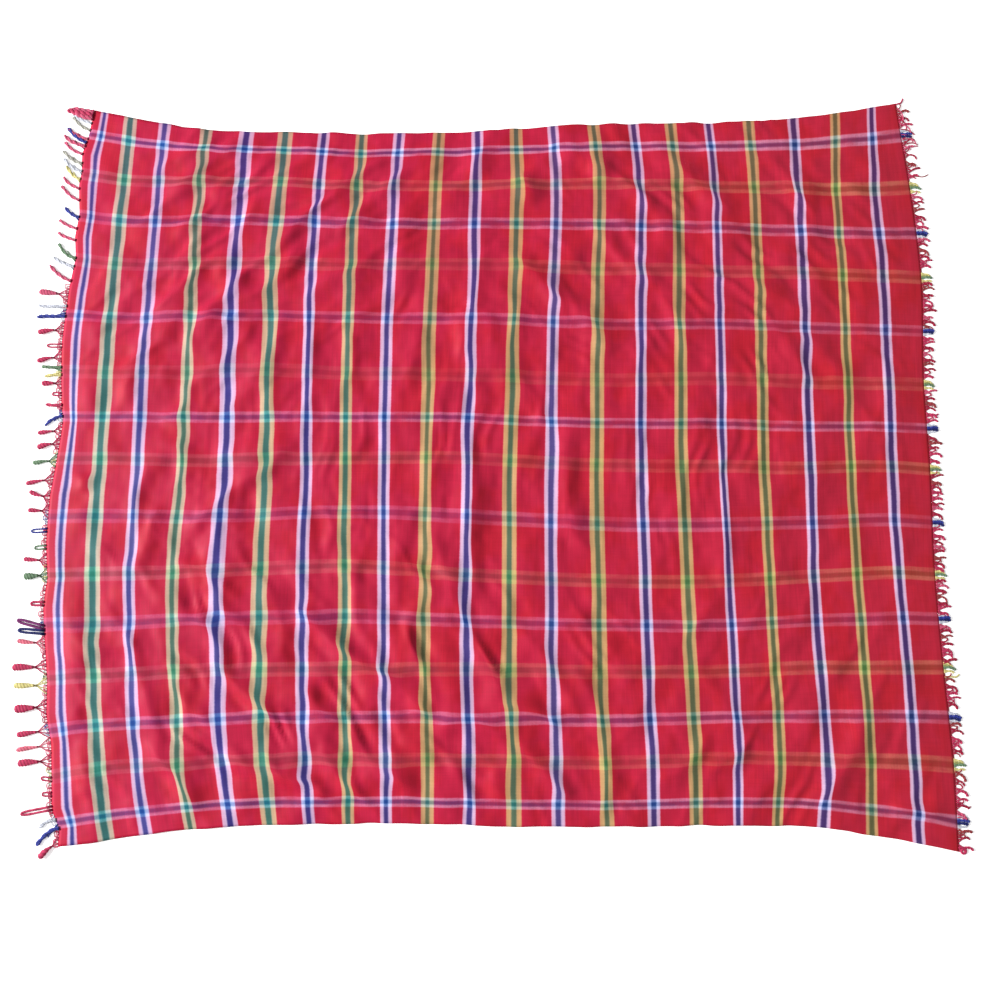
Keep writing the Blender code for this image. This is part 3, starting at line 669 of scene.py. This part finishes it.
def clothMaterial():
    material = bpy.data.materials.new("wovenPlaid")
    material.use_nodes = True
    tree = material.node_tree
    shader = tree.nodes["Principled BSDF"]
    w = Wiring(tree)
    uvNode = tree.nodes.new("ShaderNodeUVMap")
    uvNode.uv_map = "cutCloth"
    metres = w.scaled(uvNode.outputs[0], (lay["long"], lay["wide"], 1.0))
    rightward, backward, _ = w.parts(uvNode.outputs[0])
    weave = w.group(plainWeave, Cloth=metres)
    ragged = w.math("MULTIPLY_ADD", w.noise(metres, cloth["raggedCells"], 2.0), cloth["ragged"],
                    -cloth["ragged"] / 2)
    mottle = w.noise(w.scaled(metres, cloth["mottleCells"], (5.0, 1.0, 0.0)), 1.0, 3.0, 0.55)
    mottled = w.step(mottle, cloth["mottleFrom"], cloth["mottleTo"])
    red = w.mix(mottled, w.mix(rightward, litDyes["redLeft"], litDyes["redRight"]),
                w.mix(rightward, litDyes["redWarmLeft"], litDyes["redWarmRight"]))

    distance, whole, core = w.parts(w.attribute("upBand"))
    kind, tone, _ = w.parts(w.attribute("upBandKind"))
    up = w.group(bandMasks, Distance=distance, Whole=whole, Core=core, Soft=cloth["upSoft"], Ragged=ragged)
    upYarn = w.group(yarnColour, Band=up["Band"], Core=up["Core"], Outward=up["Outward"], Kind=kind,
                     Tone=tone, Rightward=rightward, Red=red)["Colour"]

    distance, whole, core = w.parts(w.attribute("sideBand"))
    kind, strength, _ = w.parts(w.attribute("sideBandKind"))
    side = w.group(bandMasks, Distance=distance, Whole=whole, Core=core, Soft=cloth["sideSoft"], Ragged=ragged)
    sideYarn = w.group(yarnColour, Band=side["Band"], Core=side["Core"], Outward=side["Outward"], Kind=kind,
                       Tone=1.0, Rightward=rightward, Red=red)["Colour"]

    # the side-going threads: a strong band is fully dyed, a faint one is mixed with red, and
    # yellow and green gain strength near the right edge; the mixture is patchy along the band
    # and a little dotted, thread by thread
    patch = w.noise(w.scaled(metres, cloth["patchCells"], (1.0, 4.0, 0.0)), 1.0, 3.0, 0.6)
    patch = w.step(patch, cloth["patchFrom"], cloth["patchTo"])
    dots = w.noise(w.scaled(metres, cloth["dotCells"]), 1.0, 2.0, 0.6)
    shown = w.math("MULTIPLY", w.math("MULTIPLY_ADD", patch, cloth["patchGain"], cloth["patchLow"]), strength)
    shown = w.math("MULTIPLY", shown, w.math("MULTIPLY_ADD", dots, cloth["dotGain"], cloth["dotLow"]))
    gain = w.math("MULTIPLY", kind, w.step(rightward, cloth["rightFrom"], 1.0))
    shown = w.math("MULTIPLY", shown, w.math("MULTIPLY_ADD", gain, cloth["rightGain"], 1.0))
    sideYarn = w.mix(w.math("MINIMUM", shown, 1.0), red, sideYarn)
    extra = w.math("MULTIPLY", side["Band"], w.math("MAXIMUM", w.math("SUBTRACT", shown, 1.0), 0.0))
    share = w.math("MULTIPLY_ADD", w.step(backward, 0.55, 0.95), cloth["backShare"], cloth["yarnShare"])
    share = w.math("MULTIPLY_ADD", extra, cloth["strongGain"], share)
    woven = w.mix(share, upYarn, sideYarn)
    # where two bands cross no red thread dulls them, so their dyes are calmed
    both = w.math("MULTIPLY", w.math("MULTIPLY", up["Band"], side["Band"]), w.math("MINIMUM", shown, 1.0))
    woven = w.mix(1.0, woven, w.mix(both, (1.0, 1.0, 1.0, 1.0), cloth["crossTint"]), "MULTIPLY")
    slub = w.math("MULTIPLY_ADD", weave["Slub"], cloth["slubGain"], cloth["slubLow"])
    haze = w.math("MULTIPLY_ADD", weave["Haze"], cloth["hazeGain"], cloth["hazeLow"])
    shade = w.math("MULTIPLY", slub, haze)
    tint = tree.nodes.new("ShaderNodeCombineColor")
    for socket in tint.inputs[:3]:
        tree.links.new(shade, socket)
    shaded = w.mix(1.0, woven, tint.outputs[0], "MULTIPLY")
    # painted light: the dyes are given as lit, so the lamp's own falloff is taken out here, darkening the
    # colour most at the left (lightLeft) and least at the right (lightRight)
    paintedLightGain = w.math("MULTIPLY_ADD", rightward, cloth["lightRight"] - cloth["lightLeft"], cloth["lightLeft"])
    w.feed(shader.inputs["Base Color"], w.vectorMath("SCALE", displayColour(w, shaded), paintedLightGain))
    w.feed(shader.inputs["Roughness"], w.math("MULTIPLY_ADD", weave["Slub"], 0.16, cloth["roughness"] - 0.08))
    shader.inputs["Specular IOR Level"].default_value = 0.2
    bump = tree.nodes.new("ShaderNodeBump")
    bump.inputs["Strength"].default_value = cloth["weaveBump"]
    bump.inputs["Distance"].default_value = cloth["weaveDepth"]
    w.feed(bump.inputs["Height"], w.math("MULTIPLY_ADD", weave["Slub"], 1.6, weave["Height"]))
    w.feed(shader.inputs["Normal"], bump.outputs[0])
    return material


clothSheet = clothPiece()
clothSheet.data.materials.append(clothMaterial())
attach(clothSheet, "root")
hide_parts("cloth")
print("cloth woven:", len(clothSheet.data.polygons), "faces")

# the fringes
yarnPalette = {  # yarn colours of the fringe as the eye sees them
    "red": (184, 54, 90), "deep": (158, 36, 64), "pink": (212, 104, 124), "white": (196, 200, 212),
    "blue": (50, 60, 140), "green": (104, 132, 104), "olive": (150, 156, 92), "yellow": (210, 200, 132),
    "grey": (168, 168, 158), "purple": (116, 46, 104), "rose": (196, 84, 114),
    "brown": (150, 62, 66), "navy": (34, 40, 96),
}
leftFringe = {
    "yarn": 0.0012, "flat": 0.52, "light": 0.84, "widthGain": 1.25,
    "fan": 15.0, "fanShares": (-1.0, -0.42, 0.38, 0.95), "knotAt": 0.38, "grip": 0.0022, "loopGap": 3.4,
    "netPitch": 12.0, "netReach": (6.0, 10.0), "netEnd": 1130.0, "eyePitch": 5.8, "eyeReach": 4.4,
    # place along the edge, reach outwards, drift towards the back, width (mm), form, colour
    "tassels": (
        (14, 33, -34, 10, "tie", "red"), (36, 40, -33, 7, "loose", "blue"), (52, 30, -14, 6, "loose", "white"),
        (74, 57, -11, 10, "loop", "red"), (100, 17, 0, 6, "loop", "red"), (128, 19, 2, 6, "loop", "red"),
        (163, 63, -4, 12, "tie", "red"), (193, 66, -11, 8, "tie", "pink"), (220, 60, -10, 10, "tie", "red"),
        (263, 60, -5, 14, "tie", "red"), (302, 64, 1, 10, "tie", "yellow"), (337, 65, 0, 12, "tie", "red"),
        (381, 54, 6, 8, "tie", "pink"), (403, 50, 4, 11, "loop", "navy"), (412, 52, 14, 11, "loop", "purple"),
        (458, 24, 0, 10, "loop", "red"),
        (514, 45, -4, 12, "tie", "green"), (542, 45, 4, 8, "tie", "red"), (570, 22, -2, 6, "loop", "green"),
        (604, 30, -2, 6, "loop", "blue"), (643, 40, 2, 8, "tie", "red"), (668, 40, 16, 8, "tie", "red"),
        (712, 53, -13, 8, "tie", "red"), (750, 47, -7, 8, "tie", "green"), (788, 43, -12, 10, "tie", "red"),
        (814, 47, -8, 8, "tie", "red"), (843, 33, -20, 6, "loose", "blue"), (867, 32, 0, 6, "loose", "red"),
        (891, 17, 0, 6, "loop", "red"), (915, 38, -2, 10, "tie", "red"), (933, 33, -4, 6, "loose", "yellow"),
        (949, 39, 0, 6, "loose", "green"), (974, 48, -12, 9, "tie", "red"), (996, 29, 0, 6, "loop", "red"),
        (1033, 51, -9, 10, "tie", "red"), (1060, 57, -2, 7, "loose", "blue"),
        (1082, 60, 0, 6, "loose", "white"),
        (1106, 59, 8, 11, "tie", "rose"), (1137, 45, 35, 9, "finger", "rose"),
        (1170, 44, 21, 6, "loose", "white"),
        (1188, 37, 31, 6, "loose", "green"), (1227, 36, 18, 8, "finger", "rose"),
        (1253, 37, 20, 8, "finger", "rose"), (1279, 29, 22, 6, "loose", "blue"),
        (1316, 39, 33, 8, "finger", "rose"), (1342, 34, 26, 8, "finger", "rose"),
        (1364, 30, 31, 6, "loose", "yellow"), (1382, 39, 29, 6, "loose", "white"),
        (1400, 41, 29, 6, "loose", "grey"), (1420, 38, 27, 8, "finger", "rose"),
        (1439, 45, 25, 7, "loose", "rose"),
        (1446, 40, 34, 9, "finger", "blue"), (1455, 42, 25, 6, "loose", "rose"),
        (1474, 38, 30, 8, "finger", "grey"), (1490, 40, 22, 8, "finger", "white"),
        (1500, 48, 20, 12, "finger", "rose"), (1509, 54, 12, 13, "finger", "red"),
        (1517, 46, 6, 11, "finger", "rose"),
    ),
}
rightFringe = {
    "yarn": 0.0013, "tooth": 0.0027, "flat": 0.55, "light": 0.90, "pitch": 12.4, "end": 1515,
    "neck": 7.5, "neckShares": (-1.0, -0.35, 0.4, 1.0),
    "toothDyes": ("red", "deep", "brown", "deep", "rose", "deep", "red"),
    # how the hooked ends lie: place, length (mm), first heading and later turn (degrees to the back)
    "lie": ((0, 27, 20, -90), (60, 25, -10, -70), (190, 25, -5, -90), (330, 25, 10, -80), (470, 24, 5, -90),
            (640, 23, 5, -70), (800, 25, 10, -100), (960, 23, 5, -80), (1140, 25, 5, -90), (1290, 24, 0, -70),
            (1400, 26, 20, -90), (1520, 28, 45, -110)),
    # strands of one band: offset from its middle (mm), length, heading, turn, size, colour
    "blueBand": (
        (-2.0, 22, -4, -25, 1.2, "navy"), (2.2, 23, 6, -45, 1.2, "blue"),
        (7.5, 20, 4, -50, 0.8, "white"), (-7.5, 20, 0, 20, 0.8, "white"),
    ),
    "greenBand": (
        (0, 23, 0, -40, 1.1, "green"), (3.5, 20, 20, -110, 0.75, "olive"),
        (7.5, 20, -12, -60, 0.85, "yellow"), (-7.5, 20, 12, -70, 0.85, "yellow"),
    ),
    # single longer ends: place, reach, drift, width, colour
    "longer": (
        (1396, 42, 2, 2.6, "brown"), (1518, 16, 9, 4, "red"), (875, 24, -2, 4, "red"),
        (297, 28, 3, 4, "yellow"), (70, 27, -4, 3, "deep"), (56, 20, -8, 4, "red"),
    ),
}


class Skein:
    # collects strands into one mesh: every strand is a tube carried along a path on the floor
    def __init__(self, flat, light):
        self.flat, self.light = flat, light ** (1 / 2.2)
        self.verts, self.faces, self.colours, self.count = [], [], [], 0

    def strand(self, line, radius, dye, rounds=8, turns=6.0, depth=0.3, lift=0.0):
        # tube: at each step of the path a ring of "rounds" points, flattened a little; its radius
        # swells and shrinks with two turning plies, so the tube reads as twisted yarn
        n = len(line)
        radius = np.broadcast_to(radius, (n,))
        height = np.max(radius) * self.flat + np.broadcast_to(lift, (n,))
        path = np.column_stack([line, height])
        heading = np.gradient(path, axis=0)
        heading /= np.linalg.norm(heading, axis=1)[:, None] + 1e-12
        sideways = np.cross([0.0, 0.0, 1.0], heading)
        sideways /= np.linalg.norm(sideways, axis=1)[:, None] + 1e-12
        run = np.concatenate([[0], np.cumsum(np.linalg.norm(np.diff(path, axis=0), axis=1))])
        angle = np.linspace(0, 2 * np.pi, rounds, endpoint=False)
        ply = np.abs(np.cos(angle[None, :] - (2 * np.pi * turns * run / run[-1])[:, None]))
        ring = radius[:, None] * (1 - depth + depth * ply)
        points = path[:, None, :] + sideways[:, None, :] * (ring * np.cos(angle))[..., None]
        points[..., 2] = np.maximum(points[..., 2] + ring * np.sin(angle) * self.flat, 0.0001)
        number = self.count + np.arange(n * rounds).reshape(n, rounds)
        right = np.roll(number, -1, axis=1)
        self.faces += np.stack([number[:-1].ravel(), right[:-1].ravel(), right[1:].ravel(),
                                number[1:].ravel()], 1).tolist()
        self.faces += [number[0][::-1].tolist(), number[-1].tolist()]
        self.verts.append(points.reshape(-1, 3))
        # painted shade: the yarn's colour is darker in the grooves between its plies and lighter on their
        # crowns, and scaled down by the fringe's light factor, more at the left fringe, nearer the lamp
        shade = (0.74 + 0.30 * ply) * self.light
        self.colours.append((np.array(yarnPalette[dye]) / 255 * shade[..., None]).reshape(-1, 3))
        self.count += n * rounds

    def twisted(self, line, fat, dye, turns, rounds=10):
        # two strands wound round each other: while one sways left and rises, the other sways
        # right and sinks
        t = np.linspace(0, 1, len(line))
        heading = np.gradient(line, axis=0)
        normal = np.stack([-heading[:, 1], heading[:, 0]], 1) / np.linalg.norm(heading, axis=1)[:, None]
        for sign in (1, -1):
            sway = 0.42 * fat * sign * np.cos(2 * np.pi * turns * t)
            rise = 0.14 * fat * (1 + sign * np.sin(2 * np.pi * turns * t))
            self.strand(line + normal * sway[:, None], strandRadius(len(line), 0.66 * fat), dye, rounds,
                        3 * turns, 0.2, rise)

    def finish(self, name):
        piece = meshFrom(name, np.concatenate(self.verts), self.faces)
        storeVector(piece, "yarn", np.clip(np.concatenate(self.colours), 0, 1))
        return piece


def bentLine(root, tip, count, bow=0.25, sway=0.0, phase=0.0):
    # leaves the cloth squarely, then drifts, with one gentle sway that grows towards the tip
    t = np.linspace(0, 1, count)
    knee = np.array([0.60 * tip[0] + 0.40 * root[0], (1 - bow) * root[1] + bow * tip[1]])
    line = ((1 - t) ** 2)[:, None] * root + (2 * t * (1 - t))[:, None] * knee + (t**2)[:, None] * tip
    line[:, 1] += sway * np.sin(2 * np.pi * t + phase) * t
    return line


def hookLine(root, length, start, turn, count):
    # a curling end: its heading starts at "start" and turns by "turn" (degrees towards the back),
    # slowly at first and faster near the tip
    t = np.linspace(0, 1, count)
    heading = np.radians(start + turn * t**1.6)
    steps = np.stack([np.cos(heading), np.sin(heading)], 1) * length / (count - 1)
    return root + np.concatenate([[[0, 0]], np.cumsum(steps[:-1], axis=0)])


def loopLine(first, second, apex, count):
    # a loop of yarn: out from the first root to the apex and back to the second one, its sides
    # bulging like a drop
    t = np.linspace(0, 1, count)
    out = np.sin(np.pi * t) ** 0.7
    base = first[None, :] * (1 - t[:, None]) + second[None, :] * t[:, None]
    middle = (first + second) / 2
    line = base + (apex - middle)[None, :] * out[:, None]
    across = (second - first) * 0.30
    return line - across[None, :] * (np.sin(2 * np.pi * t) * out)[:, None]


def leafRadius(count, fat):
    # tassel: narrow at the knot, fullest past the middle, rounded off at the tip
    t = np.linspace(0, 1, count)
    body = 0.46 + 0.54 * np.sin(np.pi / 2 * np.clip(t / 0.62, 0, 1)) ** 1.6
    return fat * body * np.sqrt(np.clip(1 - np.clip((t - 0.80) / 0.20, 0, 1) ** 2, 0.03, 1))


def strandRadius(count, fat):
    # loose end: even along most of its length, tapered to a soft point
    t = np.linspace(0, 1, count)
    return fat * (0.8 + 0.2 * np.clip(t / 0.3, 0, 1)) * np.clip((1.01 - t) / 0.08, 0.15, 1) ** 0.5


def edgePoint(side, place, outward):
    # a point beside the fringed edge: "place" along it and "outward" from it (mm)
    ex, ey = layEdge(side, np.array([place / 1000]))
    return np.array([ex[0] + side * outward / 1000, ey[0]])


def leftFringePiece():
    skein, yarn = Skein(leftFringe["flat"], leftFringe["light"]), leftFringe["yarn"]
    rows = leftFringe["tassels"]
    places = [row[0] for row in rows]
    for k, (place, reach, drift, width, form, dye) in enumerate(rows):
        root, tip = edgePoint(-1, place, -1), edgePoint(-1, place, reach)
        tip[1] += drift / 1000
        sway, half = 0.0014 * math.sin(2.4 * k), leftFringe["widthGain"] * width / 2000
        if form == "finger":
            # a thick folded end straight from the edge
            skein.twisted(bentLine(root, tip, 30, 0.3, sway, k), half * 0.74, dye, reach / 24.0)
        elif form == "loose":
            # a loose twisted end, joined near the cloth by a second, shorter one
            skein.twisted(bentLine(root, tip, 40, 0.1, sway, k), max(half, 0.0036), dye, reach / 24.0)
            second = edgePoint(-1, place - (7 if drift >= 0 else -7), -1)
            skein.strand(bentLine(second, root * 0.5 + tip * 0.5, 12, 0.5), yarn * 1.5, dye, 7, 4.0, 0.3)
        elif form == "loop":
            gap = leftFringe["loopGap"]
            first, second = edgePoint(-1, place - gap, -1), edgePoint(-1, place + gap, -1)
            skein.strand(loopLine(first, second, tip, 34), max(yarn * 1.6, half * 0.42), dye, 8,
                         reach / 5.0, 0.25)
        else:
            # a tied tassel: yarns fan in from the edge to a knot, then run on twisted together
            knot = root + (tip - root) * leftFringe["knotAt"]
            gap = min([abs(place - other) for other in places if other != place])
            fan = min(leftFringe["fan"], 0.62 * gap)
            for share in leftFringe["fanShares"]:
                start = edgePoint(-1, place + share * fan, -1)
                line = bentLine(start, knot, 12, 0.62, 0.0012 * share)
                skein.strand(line, yarn * (1.1 if abs(share) > 0.5 else 0.95), dye, 7, 4.0, 0.3)
            heading = (tip - knot) / np.linalg.norm(tip - knot)
            grip, t = leftFringe["grip"], np.linspace(-1, 1, 7)
            ball = knot[None, :] + heading[None, :] * (1.3 * t * grip)[:, None]
            skein.strand(ball, grip * np.sqrt(np.clip(1.05 - t**2, 0.05, 1)), dye, 8, 1.0, 0.15)
            skein.strand(bentLine(knot, tip, 24, 0.35, sway * 0.6, k), leafRadius(24, half), dye, 11,
                         reach / 19.0, 0.22)
    # a row of small eyes against the edge, and wider netting loops over them, up to "netEnd"
    low, high = leftFringe["netReach"]
    for k in range(int(leftFringe["netEnd"] / leftFringe["netPitch"])):
        place = 10 + k * leftFringe["netPitch"] + 2.5 * math.sin(3.1 * k)
        reach = low + (high - low) * (0.5 + 0.5 * math.sin(2.3 * k + 0.6))
        first, second = edgePoint(-1, place - 5, -1), edgePoint(-1, place + 5, -1)
        apex = edgePoint(-1, place + 3 * math.sin(1.9 * k), reach)
        skein.strand(loopLine(first, second, apex, 14), yarn * 0.85, netDye(place, k), 6, 3.0, 0.2)
    for k in range(int(leftFringe["netEnd"] / leftFringe["eyePitch"])):
        place = 4 + k * leftFringe["eyePitch"]
        first, second = edgePoint(-1, place - 2.9, -1), edgePoint(-1, place + 2.9, -1)
        apex = edgePoint(-1, place, leftFringe["eyeReach"] + 0.6 * math.sin(2.7 * k))
        skein.strand(loopLine(first, second, apex, 11), yarn * 0.8, netDye(place, k), 6, 1.5, 0.15)
    return skein.finish("fringeLeftYarns")


def nearBand(place):
    # which coloured band of the cloth a place on the edge belongs to, and how far off its middle
    gap = [abs(place - b[0]) for b in sideBands]
    return int(np.argmin(gap)), min(gap)


def netDye(place, k):
    # the netting takes the colour of the threads that end there
    near, off = nearBand(place)
    if off < sideBands[near][1] * 0.5:
        return ("green", "yellow")[k % 2] if near % 2 else ("blue", "white")[k % 2]
    return ("pink", "deep", "red")[k % 3]


def rightTooth(skein, place, reach, start, turn, size, dye, spread):
    # thin yarns run together from the edge to a neck, then go on as one thick hooked end, two
    # strands twisted together
    yarn, neck = rightFringe["yarn"], edgePoint(1, place, rightFringe["neck"])
    for share in rightFringe["neckShares"]:
        foot = edgePoint(1, place + share * spread, -1.5)
        skein.strand(bentLine(foot, neck, 9, 0.55), yarn, dye, 6, 2.0, 0.2)
    heading = math.radians(start)
    root = neck - 0.0015 * np.array([math.cos(heading), math.sin(heading)])
    hook = hookLine(root, (reach - rightFringe["neck"]) / 1000, start, turn, 20)
    skein.twisted(hook, size * rightFringe["tooth"], dye, reach / 16.0, 8)


def rightFringePiece():
    # hooked ends side by side, one small bundle for each coloured band, and a few longer ends
    skein = Skein(rightFringe["flat"], rightFringe["light"])
    lie = np.array(rightFringe["lie"], float)
    for k in range(int(rightFringe["end"] / rightFringe["pitch"])):
        place = 6 + rightFringe["pitch"] * k + 2.0 * math.sin(1.7 * k)
        near, off = nearBand(place)
        if off < sideBands[near][1] * 0.5 - 2:
            continue
        reach, start, turn = [np.interp(place, lie[:, 0], column) for column in lie.T[1:]]
        dye = rightFringe["toothDyes"][k % 7]
        rightTooth(skein, place, reach * (1 + 0.14 * math.sin(2.9 * k + 1)), start + 22 * math.sin(1.3 * k),
                   turn * (1 + 0.4 * math.sin(2.1 * k)), 1 + 0.16 * math.sin(3.7 * k), dye, 5.5)
        # a thinner end that curls back between two teeth
        side = 1 if k % 2 else -1
        curl = hookLine(edgePoint(1, place + side * 5, -1), 0.017, start - 20 * side, 130 * side, 16)
        skein.strand(curl, strandRadius(16, 1.15 * rightFringe["yarn"]), dye, 7, 5.0, 0.2, 0.0008)
    for k, band in enumerate(sideBands):
        for offset, reach, start, turn, size, dye in rightFringe["greenBand" if k % 2 else "blueBand"]:
            rightTooth(skein, band[0] + offset, reach + 1.5 * math.sin(2.6 * k + offset),
                       start + 9 * math.sin(1.9 * k), turn, size, dye, 3.0)
    for place, reach, drift, width, dye in rightFringe["longer"]:
        line = bentLine(edgePoint(1, place, -1), edgePoint(1, place + drift, reach), 24, 0.2, 0.003, 1.0)
        skein.strand(line, strandRadius(24, width / 2000), dye, 8, reach / 5.0, 0.2)
    # at the back corner thin ends cross in a loose bunch; at the front one an end curls into a lump
    for k in range(9):
        line = hookLine(edgePoint(1, 1440 + 9 * k, -1), 0.034, 40 - 11 * k, -60 - 22 * (k % 4), 20)
        dye = ("red", "deep", "rose")[k % 3]
        skein.strand(line, strandRadius(20, 1.2 * rightFringe["yarn"]), dye, 7, 6.0, 0.2, 0.001 * (k % 3))
    lump = hookLine(edgePoint(1, 6, -2), 0.046, 20, -560, 44)
    skein.strand(lump, strandRadius(44, 0.0026), "red", 9, 10.0, 0.3)
    return skein.finish("fringeRightYarns")


def yarnMaterial():
    # fringe yarn: its own dye from the attribute, with painted shade in the grooves between the
    # plies and the fringe's light factor, patchy along the strand, with fine fibres
    material = bpy.data.materials.new("fringeYarn")
    material.use_nodes = True
    tree = material.node_tree
    shader = tree.nodes["Principled BSDF"]
    w = Wiring(tree)
    coords = tree.nodes.new("ShaderNodeTexCoord").outputs["Object"]
    weave = w.group(plainWeave, Cloth=coords, Pitch=0.0009)
    patch = w.math("MULTIPLY_ADD", w.noise(coords, 150.0, 3.0), 0.5, 0.75)
    tint = tree.nodes.new("ShaderNodeCombineColor")
    for socket in tint.inputs[:3]:
        tree.links.new(patch, socket)
    shaded = w.mix(1.0, w.attribute("yarn", "Color"), tint.outputs[0], "MULTIPLY")
    w.feed(shader.inputs["Base Color"], displayColour(w, shaded))
    w.feed(shader.inputs["Roughness"], w.math("MULTIPLY_ADD", weave["Haze"], 0.2, 0.62))
    shader.inputs["Specular IOR Level"].default_value = 0.2
    bump = tree.nodes.new("ShaderNodeBump")
    bump.inputs["Strength"].default_value = 0.35
    bump.inputs["Distance"].default_value = 0.0004
    w.feed(bump.inputs["Height"], w.noise(coords, 1400.0, 2.0))
    w.feed(shader.inputs["Normal"], bump.outputs[0])
    return material


fringeYarn = yarnMaterial()
leftYarns, rightYarns = leftFringePiece(), rightFringePiece()
for piece, node in ((leftYarns, "fringe_left"), (rightYarns, "fringe_right")):
    piece.data.materials.append(fringeYarn)
    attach(piece, "root")
    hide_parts(node)
    print("fringe made:", piece.name, len(piece.data.polygons), "faces")
